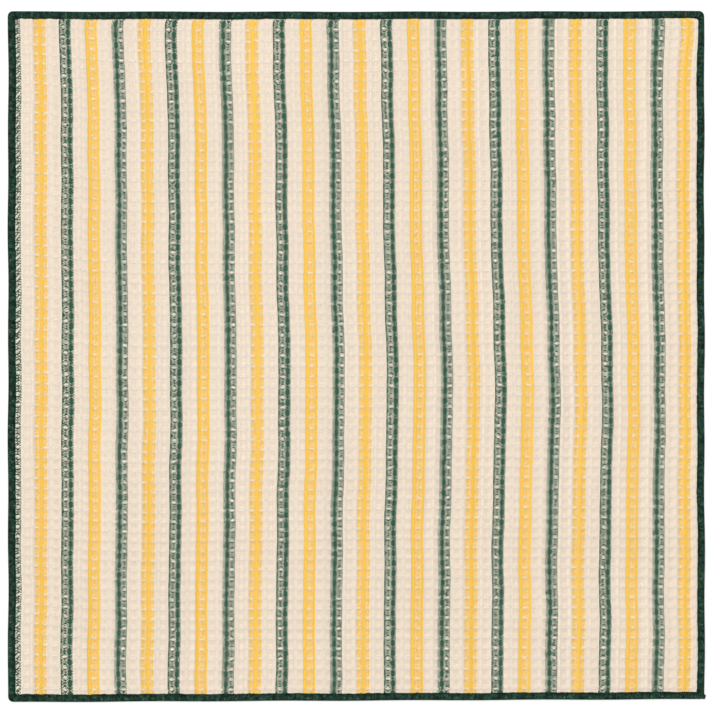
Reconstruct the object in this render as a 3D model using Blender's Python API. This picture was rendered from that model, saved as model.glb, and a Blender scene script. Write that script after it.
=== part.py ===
"""Striped waffle-weave golf towel, lying flat.

Frame: metres, +Z up, +X across the stripes, +Y along them. The origin is on the resting face, under the
middle of the towel. The cloth is made in the groups of warp yarns that are dyed together, one object for each
stripe or plain band, and the overlocked edging wraps the thin pressed rim of the cloth on all four sides.
The towel folds in half along the line x = 0, between a plain band and the middle yellow stripe.
"""

import bmesh
import bpy
from mathutils import Matrix, Vector

# Warp: the yarns that run along the towel, counted in ends
END_PITCH = 0.0007105
STRIPE_ENDS = 10
PLAIN_ENDS = 12
REPEATS = 13  # each repeat is green, plain, yellow, plain

# Cloth
CLOTH_LENGTH = 0.4026
CLOTH_THICKNESS = 0.0032
RIM_THICKNESS = 0.0012  # the cloth pressed flat inside the edging

# Edging, a channel of dense overlock thread
EDGING_BITE = 0.0043  # how far it reaches in from the outer edge
EDGING_WALL = 0.0005  # thread above and below the rim
EDGING_OUTER_WALL = 0.0010  # thread outside the rim
CORNER_RADIUS = 0.0030
CORNER_SEGMENTS = 6

# Clearances
PIECE_GAP = 0.0003  # between neighbouring pieces
RIM_CLEARANCE = 0.0003  # all round the rim inside the edging

# Derived sizes and places
STRIPE_WIDTH = STRIPE_ENDS * END_PITCH
PLAIN_WIDTH = PLAIN_ENDS * END_PITCH
HALF_X = REPEATS * (STRIPE_WIDTH + PLAIN_WIDTH)
HALF_Y = CLOTH_LENGTH / 2
MID_Z = CLOTH_THICKNESS / 2
CORE_INSET = EDGING_BITE + PIECE_GAP
RIM_INSET = EDGING_OUTER_WALL + RIM_CLEARANCE
SLOT_HEIGHT = RIM_THICKNESS + 2 * RIM_CLEARANCE
EDGING_THICKNESS = SLOT_HEIGHT + 2 * EDGING_WALL
FOLD_AXIS_Z = CLOTH_THICKNESS + PIECE_GAP / 2  # leaves one gap between the faces when folded

# Colour, roughness and metallic value of each finish
FINISHES = {
    "green_yarn": ((0.020, 0.055, 0.032, 1.0), 0.9, 0.0),
    "yellow_yarn": ((0.86, 0.47, 0.07, 1.0), 0.9, 0.0),
    "cream_yarn": ((0.84, 0.73, 0.59, 1.0), 0.9, 0.0),
    "edging_thread": ((0.018, 0.045, 0.033, 1.0), 0.75, 0.0),
}


def make_material(name):
    """A Principled material with the colour, roughness and metallic value of one finish."""
    colour, roughness, metallic = FINISHES[name]
    material = bpy.data.materials.new(name)
    material.use_nodes = True
    shader = material.node_tree.nodes["Principled BSDF"]
    shader.inputs["Base Color"].default_value = colour
    shader.inputs["Roughness"].default_value = roughness
    shader.inputs["Metallic"].default_value = metallic
    material.diffuse_color = colour
    return material


def add_object(name, bm, centre, material, parent=None):
    """Link a finished bmesh, drawn around its own origin, as an object at its centre."""
    bmesh.ops.recalc_face_normals(bm, faces=bm.faces)
    mesh = bpy.data.meshes.new(name)
    bm.to_mesh(mesh)
    bm.free()
    if material is not None:
        mesh.materials.append(material)
    piece = bpy.data.objects.new(name, mesh)
    bpy.context.collection.objects.link(piece)
    piece.parent = parent
    offset = parent.location if parent is not None else Vector()
    piece.location = Vector(centre) - offset
    return piece


def raise_faces(bm, faces, height):
    """Extrude a group of faces along Z and return the faces that were moved."""
    edges = list({edge for face in faces for edge in face.edges})
    region = bmesh.ops.extrude_face_region(bm, geom=faces + edges)["geom"]
    points = [item for item in region if isinstance(item, bmesh.types.BMVert)]
    bmesh.ops.translate(bm, verts=points, vec=(0, 0, height))
    return [item for item in region if isinstance(item, bmesh.types.BMFace)]


def inside(face, x_range, y_range):
    """True for a face whose middle lies within both ranges."""
    middle = face.calc_center_median()
    return x_range[0] < middle.x < x_range[1] and y_range[0] < middle.y < y_range[1]


def add_band(name, core_x, rim_x, material, parent):
    """One colour of the cloth: a full-thickness core with a thin rim wherever the edging grips it."""
    core_y = HALF_Y - CORE_INSET
    rim_y = HALF_Y - RIM_INSET
    centre_x = (core_x[0] + core_x[1]) / 2
    xs = sorted({x - centre_x for x in (*core_x, *rim_x)})
    ys = (-rim_y, -core_y, core_y, rim_y)
    bm = bmesh.new()
    grid = [[bm.verts.new((x, y, -RIM_THICKNESS / 2)) for y in ys] for x in xs]
    for left, right in zip(grid, grid[1:]):
        for near, far in zip(range(len(ys)), range(1, len(ys))):
            bm.faces.new((left[near], left[far], right[far], right[near]))
    raise_faces(bm, list(bm.faces), RIM_THICKNESS)
    bm.normal_update()
    core_range = (core_x[0] - centre_x, core_x[1] - centre_x), (-core_y, core_y)
    step = (CLOTH_THICKNESS - RIM_THICKNESS) / 2
    flat = [face for face in bm.faces if abs(face.normal.z) > 0.5 and inside(face, *core_range)]
    upper = [face for face in flat if face.calc_center_median().z > 0]
    lower = [face for face in flat if face.calc_center_median().z < 0]
    raise_faces(bm, upper, step)
    raise_faces(bm, lower, -step)
    return add_object(name, bm, (centre_x, 0, MID_Z), material, parent)


def box_mesh(x_range, y_range, height):
    """A box around its own origin, with the centre that it should be placed at."""
    size = Vector((x_range[1] - x_range[0], y_range[1] - y_range[0], height))
    centre = ((x_range[0] + x_range[1]) / 2, (y_range[0] + y_range[1]) / 2, MID_Z)
    bm = bmesh.new()
    bmesh.ops.create_cube(bm, size=1, matrix=Matrix.Diagonal(size).to_4x4())
    return bm, centre


def round_side(bm, side_x):
    """Round the upright edges on one side of a box."""
    upright = [
        edge
        for edge in bm.edges
        if all(point.co.x * side_x > 0 for point in edge.verts)
        and abs(edge.verts[0].co.y - edge.verts[1].co.y) < PIECE_GAP
        and abs(edge.verts[0].co.z - edge.verts[1].co.z) > PIECE_GAP
    ]
    bmesh.ops.bevel(
        bm,
        geom=upright,
        offset=CORNER_RADIUS,
        segments=CORNER_SEGMENTS,
        profile=0.5,
        affect="EDGES",
    )


def add_edging(name, outer, slot, material, parent, rounded_side=0):
    """One run of edging: a bar with a slot for the cloth's rim, and round corners on one side if wanted."""
    bm, centre = box_mesh(*outer, EDGING_THICKNESS)
    if rounded_side:
        round_side(bm, rounded_side)
    bar = add_object(name, bm, centre, material, parent)
    bm, centre = box_mesh(*slot, SLOT_HEIGHT)
    cutter = add_object(name + "_slot", bm, centre, None, parent)
    cutter.hide_render = True
    cutter.display_type = "WIRE"
    cut = bar.modifiers.new("Slot", "BOOLEAN")
    cut.operation = "DIFFERENCE"
    cut.solver = "EXACT"
    cut.object = cutter
    return bar


def add_side_edging(name, side, material, parent):
    """The edging along the left (side -1) or right (side 1), with both corners of that side."""
    outer_x = sorted((side * HALF_X, side * (HALF_X - EDGING_BITE)))
    slot_x = sorted((side * (HALF_X - EDGING_OUTER_WALL), side * (HALF_X - EDGING_BITE - PIECE_GAP)))
    slot_y = HALF_Y - EDGING_OUTER_WALL
    outer = (outer_x, (-HALF_Y, HALF_Y))
    add_edging(name, outer, (slot_x, (-slot_y, slot_y)), material, parent, side)


def add_end_edging(name, side_x, side_y, material, parent):
    """The edging along half of the top (side_y 1) or bottom (side_y -1), from the side edging to the fold."""
    outer_x = sorted((side_x * (HALF_X - EDGING_BITE - PIECE_GAP), side_x * PIECE_GAP / 2))
    outer_y = sorted((side_y * HALF_Y, side_y * (HALF_Y - EDGING_BITE)))
    slot_x = (outer_x[0] - PIECE_GAP, outer_x[1] + PIECE_GAP)
    slot_y = sorted((side_y * (HALF_Y - EDGING_OUTER_WALL), side_y * (HALF_Y - EDGING_BITE - PIECE_GAP)))
    add_edging(name, (outer_x, outer_y), (slot_x, slot_y), material, parent)


def add_cloth(materials, halves):
    """All the stripes and plain bands, from left to right."""
    kinds = (
        ("green_stripe", STRIPE_WIDTH, "green_yarn"),
        ("cream_band", PLAIN_WIDTH, "cream_yarn"),
        ("yellow_stripe", STRIPE_WIDTH, "yellow_yarn"),
        ("cream_band", PLAIN_WIDTH, "cream_yarn"),
    )
    counts = {"green_stripe": 0, "cream_band": 0, "yellow_stripe": 0}
    left = -HALF_X
    last = REPEATS * len(kinds) - 1
    for index in range(last + 1):
        kind, width, finish = kinds[index % len(kinds)]
        counts[kind] += 1
        core = [left + PIECE_GAP / 2, left + width - PIECE_GAP / 2]
        rim = list(core)
        if index == 0:
            core[0] = -HALF_X + CORE_INSET
            rim[0] = -HALF_X + RIM_INSET
        if index == last:
            core[1] = HALF_X - CORE_INSET
            rim[1] = HALF_X - RIM_INSET
        half = halves["left"] if index <= last // 2 else halves["right"]
        add_band(f"{kind}_{counts[kind]:02d}", core, rim, materials[finish], half)
        left += width


def main():
    """Clear the scene and build the towel."""
    for old in list(bpy.data.objects):
        bpy.data.objects.remove(old, do_unlink=True)
    materials = {name: make_material(name) for name in FINISHES}
    halves = {}
    for side in ("left", "right"):
        halves[side] = bpy.data.objects.new(side + "_half", None)
        halves[side].location = (0, 0, FOLD_AXIS_Z)
        bpy.context.collection.objects.link(halves[side])
    add_cloth(materials, halves)
    thread = materials["edging_thread"]
    for side, sign in (("left", -1), ("right", 1)):
        add_side_edging(f"edging_{side}", sign, thread, halves[side])
        add_end_edging(f"edging_top_{side}", sign, 1, thread, halves[side])
        add_end_edging(f"edging_bottom_{side}", sign, -1, thread, halves[side])


main()
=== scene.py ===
import math

import bpy
import numpy as np
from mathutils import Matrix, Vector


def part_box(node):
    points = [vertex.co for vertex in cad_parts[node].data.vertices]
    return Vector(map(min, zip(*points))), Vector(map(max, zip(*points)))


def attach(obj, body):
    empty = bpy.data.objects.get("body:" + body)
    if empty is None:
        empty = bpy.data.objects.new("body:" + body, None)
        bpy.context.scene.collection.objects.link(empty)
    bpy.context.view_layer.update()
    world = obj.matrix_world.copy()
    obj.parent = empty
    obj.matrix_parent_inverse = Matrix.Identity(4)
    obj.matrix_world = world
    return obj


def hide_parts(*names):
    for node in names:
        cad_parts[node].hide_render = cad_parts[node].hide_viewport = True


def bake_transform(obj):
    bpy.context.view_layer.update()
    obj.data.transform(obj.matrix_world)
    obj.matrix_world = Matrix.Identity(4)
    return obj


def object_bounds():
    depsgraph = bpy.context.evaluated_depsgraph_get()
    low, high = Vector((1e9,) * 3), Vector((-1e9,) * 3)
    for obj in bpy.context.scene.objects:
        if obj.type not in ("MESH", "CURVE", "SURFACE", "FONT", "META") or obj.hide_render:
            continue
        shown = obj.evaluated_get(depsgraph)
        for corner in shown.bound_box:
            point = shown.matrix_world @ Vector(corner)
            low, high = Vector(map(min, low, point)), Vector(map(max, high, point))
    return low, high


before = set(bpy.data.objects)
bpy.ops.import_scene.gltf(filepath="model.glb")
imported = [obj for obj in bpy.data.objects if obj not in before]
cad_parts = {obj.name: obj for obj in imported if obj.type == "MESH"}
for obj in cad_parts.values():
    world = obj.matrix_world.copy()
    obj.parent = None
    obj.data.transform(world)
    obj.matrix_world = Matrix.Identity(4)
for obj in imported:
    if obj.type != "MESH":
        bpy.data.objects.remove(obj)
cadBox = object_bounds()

# Waffle-weave golf towel, flat, seen from straight above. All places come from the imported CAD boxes.
cadLow, cadHigh = np.array(cadBox[0]), np.array(cadBox[1])
halfX, halfY = (cadHigh[:2] - cadLow[:2]) / 2
clothTop = cadHigh[2]
midZ = clothTop / 2
mm = 0.001
print("frame loaded, towel", np.round((cadHigh - cadLow) / mm, 1), "mm")


class Wire:
    # an output socket that can stand in a sum, such as 1 - wire, wire % 8 or wire > 0.5
    tree = None

    def __init__(self, socket):
        self.socket = socket

    @classmethod
    def node(cls, kind, settings, sockets, output=0):
        # settings are set first, then each socket gets its value or its link
        made = cls.tree.nodes.new(kind)
        for name, value in settings.items():
            setattr(made, name, value)
        for name, value in sockets.items():
            if isinstance(value, Wire):
                cls.tree.links.new(value.socket, made.inputs[name])
            else:
                made.inputs[name].default_value = value
        return cls(made.outputs[output])

    def calc(self, operation, *others):
        # one maths node on this wire and the others
        terms = dict(enumerate((self, *others)))
        return Wire.node("ShaderNodeMath", {"operation": operation}, terms)

    # each sign below is one maths node; the ones with an r have the plain number on the left
    def __add__(self, other):
        return self.calc("ADD", other)

    def __sub__(self, other):
        return self.calc("SUBTRACT", other)

    def __rsub__(self, other):
        return Wire.node("ShaderNodeMath", {"operation": "SUBTRACT"}, {0: other, 1: self})

    def __mul__(self, other):
        return self.calc("MULTIPLY", other)

    def __truediv__(self, other):
        return self.calc("DIVIDE", other)

    def __rtruediv__(self, other):
        return Wire.node("ShaderNodeMath", {"operation": "DIVIDE"}, {0: other, 1: self})

    def __mod__(self, other):
        return self.calc("FLOORED_MODULO", other)

    def __gt__(self, other):
        return self.calc("GREATER_THAN", other)

    def __lt__(self, other):
        return self.calc("LESS_THAN", other)

    def __abs__(self):
        return self.calc("ABSOLUTE")

    __radd__ = __add__
    __rmul__ = __mul__


def mixColour(share, first, second, blend="MIX"):
    # first at share 0, second at share 1
    settings = {"data_type": "RGBA", "blend_type": blend}
    return Wire.node("ShaderNodeMix", settings, {0: share, 6: first, 7: second}, 2)


def uvParts(name):
    # the two coordinates of a piece's own UV map
    uv = Wire.node("ShaderNodeUVMap", {"uv_map": name}, {})
    parts = Wire.node("ShaderNodeSeparateXYZ", {}, {0: uv})
    outputs = parts.socket.node.outputs
    return Wire(outputs[0]), Wire(outputs[1])


def noiseAt(x, y, scale, detail=2.0):
    # smooth noise from 0 to 1 at the point (x, y, 0); an added 71, 13 or 31 only keeps two noises apart
    place = Wire.node("ShaderNodeCombineXYZ", {}, {0: x, 1: y})
    return Wire.node("ShaderNodeTexNoise", {}, {"Vector": place, "Scale": scale, "Detail": detail})


def speckOf(value):
    # one steady random number for each whole value
    settings = {"noise_dimensions": "1D"}
    return Wire.node("ShaderNodeTexWhiteNoise", settings, {"W": value})


def between(wire, slope):
    # slope times the value, kept from 0 to 1
    return (wire * slope).calc("MAXIMUM", 0.0).calc("MINIMUM", 1.0)


def greyOf(light):
    # one number as a grey colour
    return Wire.node("ShaderNodeCombineXYZ", {}, {0: light, 1: light, 2: light})


def openMaterial(name):
    # a new material, whose nodes the next wires join, and its main shader
    material = bpy.data.materials.new(name)
    material.use_nodes = True
    Wire.tree = material.node_tree
    return material, material.node_tree.nodes["Principled BSDF"]


def feed(shader, **wires):
    # Base_Color=wire goes into the shader's Base Color socket
    for name, wire in wires.items():
        Wire.tree.links.new(wire.socket, shader.inputs[name.replace("_", " ")])


# The cloth. Counts are in yarns, and widths of yarns are shares of their spacing.
weave = {
    "stripeEnds": 10,          # warp yarns in a coloured stripe
    "plainEnds": 12,           # warp yarns in a cream band
    "repeats": 13,
    "picks": 543,              # weft yarns from edge to edge
    "cell": 8,                 # yarns across one waffle cell, each way
    "ridgeEnd": 3,             # first warp yarn that is a cell wall
    "ridgePick": 1,            # first weft yarn that is a cell wall
    "rimYarns": 2,             # yarns cut away inside the edging
    "pitTop": 1.35 * mm,       # height of the face in the middle of a cell
    "wallUnder": 1.6 * mm,     # height of the back below a cell wall
    "crossingDip": 0.45 * mm,  # how far the walls dip where they cross
    "unevenness": 0.05 * mm,
    "rimThickness": 1.1 * mm,
    "warpWidth": 0.50,         # half width of a warp yarn
    "warpRound": 0.80,         # how far a warp yarn goes from the crossing before it dives
    "weftWidth": 0.395,
    "weftRound": 0.66,
    "squeeze": 0.82,           # share of the weft width the bulky warp floats hide on the cell walls
    "pitSqueeze": 0.50,        # share of the weft width hidden in the middle of a cell
    "diagonal": 0.07,          # extra weft width where the yarns shift together into an X
    "lens": 0.12,              # extra weft width in the long float between one cell and the next
    "lensSide": 0.07,          # width its two neighbours lose
    "waver": 0.16,             # sideways unevenness of the yarns
    "mottle": 3.2,             # how much the weft width varies from place to place
    "warpMottle": 0.8,
    "edgeSharpness": 9,        # how quickly a yarn's side turns into the gap
    "flatness": 3.4,           # how soon a yarn's top rounds off
    "shade": 0.14,             # how much darker a yarn is at its sides and ends
    "fibreTone": 0.12,         # spread of tone from the fibres, the yarns and the slow clouds
    "yarnTone": 0.11,
    "cloudTone": 0.06,
    "bump": 0.6,
    "reliefDepth": 0.25 * mm,
    "roughness": 0.9,
    "gloss": 0.06,
}
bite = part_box("edging_left")[1][0] + halfX      # how far the edging reaches in over the cloth
# Yarn colours, the light that painted shade leaves in the gaps between yarns, and the share of the weft that
# the warp leaves in sight.
yarns = {
    "cream": {"warp": (0.85, 0.735, 0.605, 1), "weft": (0.85, 0.735, 0.605, 1), "gap": 0.84, "show": 1.0},
    "green": {"warp": (0.034, 0.106, 0.067, 1), "weft": (0.87, 0.80, 0.65, 1), "gap": 0.62, "show": 1.01},
    "yellow": {"warp": (0.93, 0.56, 0.082, 1), "weft": (0.85, 0.735, 0.605, 1), "gap": 0.85, "show": 0.82},
}
stripEnds = weave["stripeEnds"] + weave["plainEnds"]
endPitch = 2 * halfX / (2 * weave["repeats"] * stripEnds)
pickPitch = 2 * halfY / weave["picks"]


def smooth(value):
    # 3v^2 - 2v^3 between 0 and 1
    value = np.clip(value, 0, 1)
    return value * value * (3 - 2 * value)


def bell(value, middle, width):
    # exp(-((v - middle) / width)^2)
    return np.exp(-(((value - middle) / width) ** 2))


def outlineSkew(x, y):
    # the towel isn't cut quite square. In mm, y moves by a share of x at the bottom and of x squared at the
    # top, x moves by a share of y at the right, and slow sine waves make the outline uneven
    s, t = x / halfX, y / halfY
    dx = 0.12 * np.sin(9 * t + 1) - 0.1 * (1 + s) * t + 0.17 * np.sin(21 * t + 5 * s + 2)
    dy = (0.38 + 0.88 * s) * (1 - t) / 2 + (0.25 * s * s + 0.1 * s - 0.1) * (1 + t) / 2
    dy = dy + 0.13 * np.sin(17 * s + 3 * t + 2)
    return x + dx * mm, y + dy * mm


def yarnDrift(x, y):
    # the yarns wander by a few mm: a sum of bell curves along and across the stripes and of small sine waves,
    # brought to nothing at the outer edges
    s, t = x / halfX, y / halfY
    dx = 0.08 + 0.1 * s + (1.9 + 1.6 * s) * bell(t, -0.13, 0.34) - (1.8 - 1.6 * s) * bell(t, 1.05, 0.28)
    dx = dx + (0.2 + s) * bell(t, -0.85, 0.25) - 0.45 * (1 + s) * bell(t, 0.77, 0.14)
    dy = 0.27 - 0.5 * t - (2.2 - 2.2 * s + 2.2 * s * s) * bell(t, -0.33, 0.4)
    dy = dy - 2.9 * bell(t, 0.92, 0.22) * bell(s, -0.4, 0.45)
    dy = dy + 5.5 * bell(s, -1, 0.23) + 0.9 * bell(s, 0.45, 0.3) * bell(t, 0.4, 0.35)
    dy = dy - 0.6 * (1 + s) * bell(t, -1, 0.25)
    dx = dx * (1 - s**4) + 2.6 * bell(t, 0.97, 0.14) * bell(s, 0.96, 0.10) + 0.9 * bell(s, -1, 0.07)
    dx = dx + 0.10 * np.sin(31 * t + 9 * s) + 0.06 * np.sin(67 * t - 23 * s)
    dy = dy * (1 - t**8) + 0.12 * np.sin(19 * s + 6 * t) + 0.05 * np.sin(53 * s - 17 * t)
    edge = np.minimum(halfX - abs(x), halfY - abs(y))
    still = smooth((edge - 0.3 * bite) / (1.5 * bite))
    return x + dx * still * mm, y + dy * still * mm


def cellDistance(yarn, firstRidge):
    # |((yarn - 1/2 - first) mod 8) - 4| / 4: 0 in the middle of a cell, 1 on its wall
    half = weave["cell"] / 2
    return abs((yarn - 0.5 - firstRidge) % weave["cell"] - half) / half


def clothPoints(ends, picks, under):
    # x, y on the yarn grid. The height follows the square pit h = (a^4 + b^4)^(1/4), the walls dip where they
    # cross, and the whole relief fades into the thin rim with 3v^2 - 2v^3 near the edging
    x, y = ends * endPitch - halfX, picks * pickPitch - halfY
    a, b = cellDistance(ends, weave["ridgeEnd"]), cellDistance(picks, weave["ridgePick"])
    pit = np.minimum((a**4 + b**4) ** 0.25, 1)
    rough = np.modf(np.sin(ends * 12.9898 + picks * 78.233) * 43758.5453)[0]      # one number a crossing
    if under:
        z = weave["wallUnder"] * pit**1.3 + weave["unevenness"] * abs(rough)
        rim = midZ - weave["rimThickness"] / 2
    else:
        z = weave["pitTop"] + (clothTop - weave["pitTop"]) * pit**1.15
        z = z - weave["crossingDip"] * (a * b) ** 2 - weave["unevenness"] * abs(rough)
        rim = midZ + weave["rimThickness"] / 2
    edge = np.minimum(halfX - abs(x), halfY - abs(y))
    z = rim + (z - rim) * smooth((edge - 0.8 * bite) / (0.9 * bite))
    x, y = outlineSkew(*yarnDrift(x, y))
    return np.stack([x, y, z], -1)


def shellFaces(columns, rows):
    # quads of a closed shell: the face grid, the back grid turned over, and the four rims between them
    face = np.arange(columns * rows).reshape(columns, rows)
    back = face + columns * rows

    def quads(grid):
        # one quad for each square in a grid of vertex numbers
        corners = (grid[:-1, :-1], grid[1:, :-1], grid[1:, 1:], grid[:-1, 1:])
        return np.stack(corners, -1).reshape(-1, 4)

    rim = [
        np.stack([back[:, 0], face[:, 0]]),
        np.stack([face[:, -1], back[:, -1]]),
        np.stack([face[0], back[0]]),
        np.stack([back[-1], face[-1]]),
    ]
    sides = [quads(pair)[:, ::-1] for pair in rim]
    return np.concatenate([quads(face), quads(back)[:, ::-1], *sides])


def makeMesh(name, points, faces, uvName, uv, materials, faceMaterial=None, extra=None):
    # one object from whole arrays; uv and extra hold one row for each point
    mesh = bpy.data.meshes.new(name)
    mesh.vertices.add(len(points))
    mesh.vertices.foreach_set("co", points.astype(np.float32).ravel())
    mesh.loops.add(faces.size)
    mesh.loops.foreach_set("vertex_index", faces.astype(np.int32).ravel())
    mesh.polygons.add(len(faces))
    mesh.polygons.foreach_set("loop_start", np.arange(len(faces), dtype=np.int32) * faces.shape[1])
    layer = mesh.uv_layers.new(name=uvName)
    layer.data.foreach_set("uv", uv[faces.ravel()].astype(np.float32).ravel())
    for key, values in (extra or {}).items():
        mesh.attributes.new(key, "FLOAT", "POINT").data.foreach_set("value", values.astype(np.float32))
    for material in materials:
        mesh.materials.append(material)
    if faceMaterial is not None:
        mesh.polygons.foreach_set("material_index", faceMaterial.astype(np.int32))
    mesh.update(calc_edges=True)
    mesh.validate()
    mesh.shade_smooth()
    piece = bpy.data.objects.new(name, mesh)
    bpy.context.collection.objects.link(piece)
    return piece


def warpOnTop(a, b):
    # the draft of one cell, for whole a and b from 0, mid cell, to 4, on the wall:
    # plain weave where a + b is odd, a warp float beside the wall, a weft float above and below
    plain = ((a + b) % 2) * (1 - ((b - a) > 2.5))
    warpFloat = (a > 2.5) * ((a - b) > 1.5)
    stem = (a < 0.5) * (abs(b - 2) < 0.5)
    return plain.calc("MAXIMUM", warpFloat).calc("MAXIMUM", stem)


def yarnMaterial(name, yarn):
    # every crossing shows the yarn that lies on top, rounded across and diving at its ends
    material, shader = openMaterial(name)
    end, pick = uvParts("weave")
    back = Wire.node("ShaderNodeAttribute", {"attribute_name": "back"}, {}, 2)
    end = end + (noiseAt(end, pick, 0.8) - 0.5) * weave["waver"] * 2
    pick = pick + (noiseAt(end + 71, pick, 0.8) - 0.5) * weave["waver"] * 2
    wholeEnd, wholePick = end.calc("FLOOR"), pick.calc("FLOOR")
    u, v = end - wholeEnd - 0.5, pick - wholePick - 0.5
    sideEnd, sidePick = wholeEnd + u.calc("SIGN"), wholePick + v.calc("SIGN")

    def cell(yarn, ridge):
        # 0 in the middle of a waffle cell, 4 on its wall
        return abs((yarn - ridge) % weave["cell"] - weave["cell"] / 2)

    a, b = cell(wholeEnd, weave["ridgeEnd"]), cell(wholePick, weave["ridgePick"])
    aSide, bSide = cell(sideEnd, weave["ridgeEnd"]), cell(sidePick, weave["ridgePick"])
    top = abs(warpOnTop(a, b) - back)
    goesOn = abs(warpOnTop(a, bSide) - back)       # the warp yarn stays on top at the next pick
    besideUp = abs(warpOnTop(aSide, b) - back)     # the next warp yarn is on top too
    crossing = speckOf(wholeEnd + wholePick * 617.3)                # its own number for each crossing
    onCross = (abs(a - b) < 0.5) * (abs(a - 1.5) < 1.0)
    mottle = noiseAt(end * 0.5 + 13, pick * 0.42, 1.0, 2.0) + (crossing - 0.5) * 0.12

    def dive(along, reach, stays):
        # 1 where the yarn goes on, else the round end sqrt(1 - (s / r)^2)
        slope = along / reach
        tip = (1 - slope * slope).calc("MAXIMUM", 0.0).calc("SQRT")
        return tip + stays * (1 - tip)

    warpDive = dive(v, weave["warpRound"], goesOn)
    weftDive = dive(u, weave["weftRound"], (1 - besideUp).calc("MAXIMUM", onCross * 0.5))
    weftWidth = weave["weftWidth"] * (1 - weave["squeeze"] * (a / 4).calc("POWER", 4.0))
    lens = (b > 3.5) * weave["lens"] - (abs(b - 3) < 0.5) * weave["lensSide"]
    weftWidth = weftWidth + weave["diagonal"] * onCross + lens * (a < 1.5)
    weftWidth = weftWidth * (1 - weave["pitSqueeze"] * (a + b < 1.5))
    weftWidth = (weftWidth * yarn["show"] * (1 + (mottle - 0.5) * weave["mottle"])).calc("MINIMUM", 0.5)
    warpWidth = warpDive * (weave["warpWidth"] - (mottle - 0.5) * weave["warpMottle"] * (a < 2.5))
    warpShare = between(warpWidth - abs(u), weave["edgeSharpness"])
    weftShare = between(weftDive * weftWidth - abs(v), weave["edgeSharpness"])
    crowded = (a > 2.5).calc("MAXIMUM", besideUp)                   # only warp shows between such yarns
    seen = top * warpShare + (1 - top) * weftShare                  # 1 on a yarn, 0 in a gap
    isWarp = top * warpShare.calc("MAXIMUM", crowded) + (1 - top) * (1 - weftShare)

    across, along = top * u + (1 - top) * v, top * v + (1 - top) * u
    roundness = (1 - across * across * weave["flatness"]).calc("MAXIMUM", 0.0).calc("SQRT")
    yarnDive = top * warpDive + (1 - top) * weftDive
    fibre = noiseAt(across * 9 + along * 4 + wholeEnd * 3.1, along * 2.2 + wholePick * 1.7, 3.0, 3.0)
    toneOfEnd, toneOfPick = speckOf(wholeEnd), speckOf(wholePick + 0.5)
    cloudy = noiseAt(end * 0.02, pick * 0.02, 1.0, 3.0)

    light = 1 - weave["shade"] + weave["shade"] * roundness * yarnDive
    light = light * (1 - weave["fibreTone"] / 2 + weave["fibreTone"] * fibre)
    light = light * (0.94 + weave["yarnTone"] * (isWarp * toneOfEnd + (1 - isWarp) * toneOfPick))
    light = light * (1 - weave["cloudTone"] / 2 + weave["cloudTone"] * cloudy)
    # painted shade: the gaps between yarns keep only the yarn's gap share of its light
    light = light * (yarn["gap"] + (1 - yarn["gap"]) * seen)
    colour = mixColour(isWarp, yarn["weft"], yarn["warp"])
    colour = mixColour(1.0, colour, greyOf(light), "MULTIPLY")
    height = seen * (0.35 + 0.65 * roundness) * yarnDive + fibre * 0.08
    bump = {"Strength": weave["bump"], "Distance": weave["reliefDepth"], "Height": height}
    feed(shader, Base_Color=colour, Normal=Wire.node("ShaderNodeBump", {}, bump))
    shader.inputs["Roughness"].default_value = weave["roughness"]
    shader.inputs["Specular IOR Level"].default_value = weave["gloss"]
    return material


clothMaterials = {kind: yarnMaterial("waffle" + kind.capitalize(), yarn) for kind, yarn in yarns.items()}
print("yarn materials ready")


def makeStrip(index):
    # one coloured stripe and the cream band to its right, as one closed sheet of face, back and rims
    kind = ("green", "yellow")[index % 2]
    number = index // 2 + 1
    firstEnd = index * stripEnds
    change = firstEnd + weave["stripeEnds"]
    lastEnd = firstEnd + stripEnds
    rim = weave["rimYarns"]
    start = rim if index == 0 else firstEnd
    stop = lastEnd - rim if index == 2 * weave["repeats"] - 1 else lastEnd
    ends = np.array(sorted({start, change, stop, *(np.arange(start, stop) + 0.5)}), float)
    picks = np.array([rim, *(np.arange(rim, weave["picks"] - rim) + 0.5), weave["picks"] - rim], float)
    grid = np.meshgrid(ends, picks, indexing="ij")
    points = [clothPoints(*grid, under).reshape(-1, 3) for under in (False, True)]
    uv = np.stack(grid, -1).reshape(-1, 2)
    faces = shellFaces(len(ends), len(picks))
    middles = uv[faces % len(uv)].mean(1)[:, 0]
    back = np.repeat([0.0, 1.0], len(uv))
    piece = makeMesh(
        f"{kind}StripeCloth{number:02d}",
        np.concatenate(points),
        faces,
        "weave",
        np.concatenate([uv, uv]),
        [clothMaterials[kind], clothMaterials["cream"]],
        middles > change,
        {"back": back},
    )
    replaced = (f"{kind}_stripe_{number:02d}", f"cream_band_{index + 1:02d}")
    return piece, kind, replaced, (stop - start) * endPitch, (picks[-1] - picks[0]) * pickPitch


def hold(piece, side, crosses):
    # a piece that crosses the fold is left on no half, its place baked into its mesh; any other rides on its
    # half
    if crosses:
        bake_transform(piece)
    else:
        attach(piece, side)


strips = []
for index in range(2 * weave["repeats"]):
    piece, kind, replaced, width, length = makeStrip(index)
    side = "left_half" if index < weave["repeats"] else "right_half"
    hold(piece, side, index in (weave["repeats"] - 1, weave["repeats"]))
    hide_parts(*replaced)
    kind + "_yarn"
    strips.append(piece)
print(len(strips), "strips of waffle cloth made")


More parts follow.
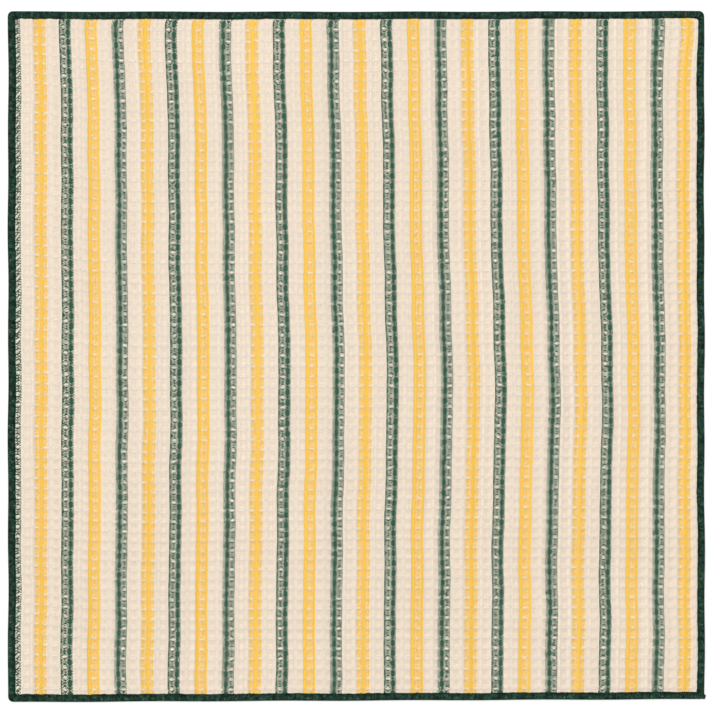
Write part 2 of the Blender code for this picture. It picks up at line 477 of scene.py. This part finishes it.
# The overlocked edging.
edging = {
    "outerRadius": 3.0 * mm,
    "innerRadius": 0.4 * mm,
    "stitch": 1.05 * mm,      # from one stitch to the next
    "samples": 6,             # sections in a stitch
    "slant": 0.9,             # stitches that a thread crosses from the outer edge to the inner one
    "threadRelief": 0.17 * mm,
    "serration": 0.55 * mm,   # how far the inner edge steps in and out with each stitch
    "thickness": 2.8 * mm,
    "innerThickness": 1.9 * mm,
    "roundOff": 1.5 * mm,     # width of the rounded outer side
    "fullness": 2.4,          # 2 rounds it like an ellipse, more makes it squarer
    "thinFrom": 0.35,         # share of the width where it starts to get thinner
    "pinchFrom": 0.95,        # share of the width where the inner edge turns in
    "pinch": 0.75,            # share of the thickness lost there
    "unevenness": 0.04,       # spread of the thickness along the edging
    "joinAt": 192.5 * mm,     # the brown thread end, measured from the middle of the top edge
    "bump": 0.6,
    "roughness": 0.7,
    "gloss": 0.08,
}
edgingColours = {
    "thread": (0.0125, 0.0440, 0.0275, 1),
    # paler green of the painted highlight on the thread tops
    "paintedHighlight": (0.085, 0.155, 0.115, 1),
    "fleck": (0.45, 0.48, 0.38, 1),
    "join": (0.14, 0.11, 0.06, 1),      # a short brown thread end laid over the top edge
}
cornerReach = bite + edging["innerRadius"]      # a corner starts this far before the end of its side
cornerStraight = cornerReach - edging["outerRadius"]
cornerLength = 2 * cornerStraight + edging["outerRadius"] * math.pi / 2
perimeter = 4 * (halfX + halfY - 2 * cornerReach) + 4 * cornerLength
stitch = perimeter / round(perimeter / edging["stitch"])


def stationsOf(length):
    # even shares from 0 to 1, with the same number of sections in every stitch
    return np.linspace(0, 1, int(round(length / stitch * edging["samples"])) + 1)[:, None]


def straightStations(outerFrom, outerTo, innerFrom, innerTo, begins):
    # sections on a straight run: outer and inner ends go from one point to the other at even steps
    run = np.linalg.norm(np.subtract(outerTo, outerFrom))
    q = stationsOf(run)
    outer = np.array(outerFrom) * (1 - q) + np.array(outerTo) * q
    inner = np.array(innerFrom) * (1 - q) + np.array(innerTo) * q
    return outer, inner, begins + q[:, 0] * run


def cornerStations(begins):
    # sections round the top right corner: straight, arc and straight outside, a small arc inside
    q = stationsOf(cornerLength)[:, 0]
    run = q * cornerLength
    radius, small = edging["outerRadius"], edging["innerRadius"]
    turn = np.clip((run - cornerStraight) / radius, 0, math.pi / 2)
    before = np.minimum(run, cornerStraight)
    after = np.maximum(run - cornerStraight - radius * math.pi / 2, 0)
    x = halfX - cornerReach + before + radius * np.sin(turn)
    y = halfY - radius + radius * np.cos(turn) - after
    inX = halfX - cornerReach + small * np.sin(q * math.pi / 2)
    inY = halfY - cornerReach + small * np.cos(q * math.pi / 2)
    return np.stack([x, y], -1), np.stack([inX, inY], -1), begins + run


def mirrored(stations, whole):
    # the same run below the middle, still going clockwise
    outer, inner, along = stations
    return outer[::-1] * (1, -1), inner[::-1] * (1, -1), whole - along[::-1]


def turned(stations):
    # the same run on the other side of the towel, half the perimeter further on
    outer, inner, along = stations
    return -outer, -inner, along + perimeter / 2


def joined(*runs):
    # runs one after another, without the doubled section where they meet
    outer = np.concatenate([runs[0][0]] + [run[0][1:] for run in runs[1:]])
    inner = np.concatenate([runs[0][1]] + [run[1][1:] for run in runs[1:]])
    along = np.concatenate([runs[0][2]] + [run[2][1:] for run in runs[1:]])
    return outer, inner, along


def scatter(whole):
    # fraction of 43758 sin(13 k): a steady random number for each whole number
    return np.modf(abs(np.sin(whole * 12.9898)) * 43758.5453)[0]


def threadRidge(phase):
    # round threads with sharp valleys between them: sqrt(|cos(pi p)|)
    return np.sqrt(abs(np.cos(math.pi * phase)))


def edgingPoints(stations):
    # a lens-like section carried along the rim: rounded outside by (1 - (1 - l)^n)^(1/n), and thinner where
    # it bites into the cloth. Slanted thread ridges pass round the outer edge from the face to the back, and
    # the inner edge steps in and out with the stitches
    outer, inner, along = stations
    # one section: over the face from the outer edge in, one vertex on the inner edge, and back underneath
    reach = np.array([0, 0.02, 0.07, 0.15, 0.26, 0.4, 0.55, 0.7, 0.85, 0.96, 1.0])
    across = np.concatenate([reach, [1.0], reach[::-1][:-1]])
    side = np.concatenate([np.ones(len(reach)), [0.0], -np.ones(len(reach) - 1)])
    d, g = across[None, :], along[:, None]
    phase = g / stitch + edging["slant"] * d * side[None, :]
    ridge = threadRidge(phase)
    lap = np.clip(d * bite / edging["roundOff"], 0, 1)
    n = edging["fullness"]
    half = edging["thickness"] / 2 * (1 - (1 - lap) ** n) ** (1 / n)
    thinner = (edging["thickness"] - edging["innerThickness"]) / 2
    half = half - thinner * smooth((d - edging["thinFrom"]) / (1 - edging["thinFrom"]))
    wave = 2 * math.pi * g / perimeter
    half = half * (1 - edging["unevenness"] + edging["unevenness"] * np.sin(97 * wave + 3 * d))
    half = half - edging["threadRelief"] * (1 - ridge)
    half = half * (1 - smooth((d - edging["pinchFrom"]) / (1 - edging["pinchFrom"])) * edging["pinch"])
    z = midZ + side[None, :] * np.maximum(half, 0)
    # each stitch reaches in by its own amount, and the width wanders slowly round the towel
    tooth = threadRidge(g / stitch + 0.35) * (0.3 + 0.7 * scatter(np.floor(g / stitch + 0.85)))
    step = edging["serration"] * (tooth + 0.2) / bite
    drift = 0.018 * np.sin(41 * wave) + 0.014 * np.sin(113 * wave + 2) + 0.04 * np.cos(wave + math.pi / 4)
    outward = -edging["threadRelief"] * 0.5 * (1 - ridge) * (1 - lap) / bite
    share = d * (1 + step + drift) - outward
    xy = outer[:, None, :] + (inner - outer)[:, None, :] * share[..., None]
    x, y = outlineSkew(xy[..., 0], xy[..., 1])
    points = np.stack([x, y, z], -1)
    uv = np.stack([g / stitch + 0 * d, d * side[None, :] + 0 * g], -1)
    return points, uv


def tubeFaces(sections, around):
    # quads of a closed tube, and the same quads folded flat over its two open ends
    ring = np.arange(sections * around).reshape(sections, around)
    loop = np.concatenate([ring, ring[:, :1]], 1)
    corners = (loop[:-1, :-1], loop[:-1, 1:], loop[1:, 1:], loop[1:, :-1])
    sides = np.stack(corners, -1).reshape(-1, 4)
    k = np.arange(1, around // 2)
    flat = np.stack([k - 1, around - k, around - k - 1, k], -1)
    return np.concatenate([sides, ring[0][flat], ring[-1][flat[:, ::-1]]])


def threadMaterial():
    # dense overlock thread: painted shade between the threads and between the plies, paler painted light on
    # the thread tops, twisted plies and a few cream flecks
    material, shader = openMaterial("overlockThread")
    along, across = uvParts("stitch")
    thread = along + across * edging["slant"]
    phase = thread % 1.0
    ridge = abs(phase - 0.5) * 2
    eachThread = speckOf((thread - 0.5).calc("ROUND"))
    ply = ((along * 2.0 - across * 5.0) % 1.0 - 0.5).calc("ABSOLUTE") * 2
    fibre = noiseAt(along * 0.9, across * 4.0, 1.0, 3.0)
    patch = noiseAt(along * 0.42 + 31, across * 1.9, 1.0, 2.0)
    # painted shade: darker towards the inner edge, where the edging meets the cloth
    inner = between(abs(across) - 0.55, 2.2)
    # each cause of light and dark counts as its lowest value plus its spread times a wire from 0 to 1
    # painted shade: the ridge and ply terms darken the valleys between threads and plies and lighten the
    # tops; fibre, eachThread and patch are random tone
    light = (0.40 + 0.75 * ridge) * (0.8 + 0.3 * ply) * (0.15 + 1.7 * fibre) * (0.6 + 0.8 * eachThread)
    light = light * ((patch - 0.22) * 3.2).calc("MAXIMUM", 0.15) * (1.14 - 0.5 * inner)
    # painted highlight: a paler green on the thread tops, patchy with the fibre noise and kept off the inner
    # edge
    paintedHighlight = between(fibre - 0.5, 5) * ridge * (1 - inner) * 0.5
    colour = mixColour(paintedHighlight, edgingColours["thread"], edgingColours["paintedHighlight"])
    flecks = noiseAt(along * 0.9, across * 3.0, 2.3, 1.0)
    colour = mixColour(between(flecks - 0.715, 22) * 0.8, colour, edgingColours["fleck"])
    join = (abs(along + across - edging["joinAt"] / stitch) < 0.6) * (abs(across - 0.45) < 0.33)
    colour = mixColour(join * 0.85, colour, edgingColours["join"])
    colour = mixColour(1.0, colour, greyOf(light), "MULTIPLY")
    height = ridge * 0.7 + ply * 0.2 + fibre * 0.25
    bump = {"Strength": edging["bump"], "Distance": edging["threadRelief"], "Height": height}
    feed(shader, Base_Color=colour, Normal=Wire.node("ShaderNodeBump", {}, bump))
    shader.inputs["Roughness"].default_value = edging["roughness"]
    shader.inputs["Specular IOR Level"].default_value = edging["gloss"]
    return material


threadFinish = threadMaterial()


def makeEdging(name, stations, node, side, crosses):
    # one run of edging as a closed tube that stands for its CAD node
    points, uv = edgingPoints(stations)
    sections, around = points.shape[:2]
    faces = tubeFaces(sections, around)
    piece = makeMesh(name, points.reshape(-1, 3), faces, "stitch", uv.reshape(-1, 2), [threadFinish])
    hold(piece, side, crosses)
    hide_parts(node)
    return piece


topRun = straightStations(
    (0, halfY), (halfX - cornerReach, halfY), (0, halfY - bite), (halfX - cornerReach, halfY - bite), 0
)
corner = cornerStations(topRun[2][-1])
sideRun = straightStations(
    (halfX, halfY - cornerReach), (halfX, 0), (halfX - bite, halfY - cornerReach), (halfX - bite, 0),
    corner[2][-1],
)
half = perimeter / 2
rightRun = joined(corner, sideRun, mirrored(sideRun, half), mirrored(corner, half))
bottomRun = mirrored(topRun, half)
edges = [
    makeEdging("topRightOverlock", topRun, "edging_top_right", "right_half", True),
    makeEdging("rightOverlock", rightRun, "edging_right", "right_half", False),
    makeEdging("bottomRightOverlock", bottomRun, "edging_bottom_right", "right_half", True),
    makeEdging("bottomLeftOverlock", turned(topRun), "edging_bottom_left", "left_half", True),
    makeEdging("leftOverlock", turned(rightRun), "edging_left", "left_half", False),
    makeEdging("topLeftOverlock", turned(bottomRun), "edging_top_left", "left_half", True),
]
print(len(edges), "runs of overlocked edging made,", round(perimeter / stitch), "stitches")

# The cut end of the overlock thread at one corner.
tail = {
    "root": (halfX - 3.6 * mm, -halfY + 2.2 * mm),
    "tip": (halfX + 0.7 * mm, -halfY + 1.3 * mm),
    "hang": 0.1 * mm,
    "radius": 1.5 * mm,
    "squareness": 0.2,         # nearer 0 makes the ends blunter
    "ridges": 0.13,            # height of the plies, as a share of the radius
    "turns": 2.2,
    "flattened": 0.9,          # height as a share of width
    "sections": 40,
    "around": 20,
}


def makeTail():
    # a two-ply tube whose radius R (4q(1 - q))^n (1 + k cos 2(p - turns pi q)) closes at both ends
    q = np.linspace(0.002, 0.998, tail["sections"])[:, None]
    p = np.arange(tail["around"])[None, :] / tail["around"] * 2 * math.pi
    run = np.subtract(tail["tip"], tail["root"])
    ahead = run / np.linalg.norm(run)
    twist = np.cos(2 * (p - tail["turns"] * math.pi * q))
    radius = tail["radius"] * (4 * q * (1 - q)) ** tail["squareness"] * (1 + tail["ridges"] * twist)
    out, up = radius * np.cos(p), radius * np.sin(p)
    x = tail["root"][0] + run[0] * q - ahead[1] * out
    y = tail["root"][1] + run[1] * q + ahead[0] * out - tail["hang"] * np.sin(math.pi * q)
    points = np.stack([*outlineSkew(x, y), midZ + tail["flattened"] * up], -1).reshape(-1, 3)
    uv = np.stack([q * 5 + 0 * p, abs(p / math.pi - 1) * 0.5 + 0 * q], -1).reshape(-1, 2)
    faces = tubeFaces(tail["sections"], tail["around"])
    piece = makeMesh("overlockTail", points, faces, "stitch", uv, [threadFinish])
    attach(piece, "right_half")


makeTail()
print("thread tail made")


# Floor, light and camera.
room = {
    "floorSize": 6.0,
    "floorColour": (0.93, 0.93, 0.93, 1),
    "lampPlace": (-0.25, 0.35, 2.6),
    "lampTilt": (-7.7, -5.5),  # degrees about x and y, towards the towel
    "lampSize": 1.0,
    "lampPower": 57.0,
    "skyStrength": 0.42,
    "lens": 100.0,
    "frameWidth": 0.41609,     # width in view, half way up the towel
    "aim": (0.175 * mm, -0.1 * mm),
}


def makeFloor():
    # a plain square floor at z = 0
    size = room["floorSize"] / 2
    mesh = bpy.data.meshes.new("floor")
    corners = [(-size, -size, 0), (size, -size, 0), (size, size, 0), (-size, size, 0)]
    mesh.from_pydata(corners, [], [(0, 1, 2, 3)])
    floor = bpy.data.objects.new("floor", mesh)
    bpy.context.collection.objects.link(floor)
    material, shader = openMaterial("paleFloor")
    shader.inputs["Base Color"].default_value = room["floorColour"]
    shader.inputs["Roughness"].default_value = 0.9
    mesh.materials.append(material)


def makeLights():
    # one large soft lamp a little to the back left, and an even sky
    lamp = bpy.data.lights.new("softbox", "AREA")
    lamp.shape = "DISK"
    lamp.size = room["lampSize"]
    lamp.energy = room["lampPower"]
    softbox = bpy.data.objects.new("softbox", lamp)
    softbox.location = room["lampPlace"]
    softbox.rotation_euler = (*map(math.radians, room["lampTilt"]), 0)
    bpy.context.collection.objects.link(softbox)
    world = bpy.data.worlds.new("studio")
    world.use_nodes = True
    sky = world.node_tree.nodes["Background"]
    sky.inputs["Color"].default_value = (1, 1, 1, 1)
    sky.inputs["Strength"].default_value = room["skyStrength"]
    bpy.context.scene.world = world


def makeCamera():
    # straight above, at distance = width in view x lens / sensor width
    data = bpy.data.cameras.new("camera")
    data.lens = room["lens"]
    camera = bpy.data.objects.new("camera", data)
    distance = room["frameWidth"] * data.lens / data.sensor_width
    camera.location = (*room["aim"], midZ + distance)
    bpy.context.collection.objects.link(camera)
    bpy.context.scene.camera = camera


makeFloor()
makeLights()
makeCamera()
bpy.context.scene.view_settings.view_transform = "Standard"
print("floor, light and camera ready")
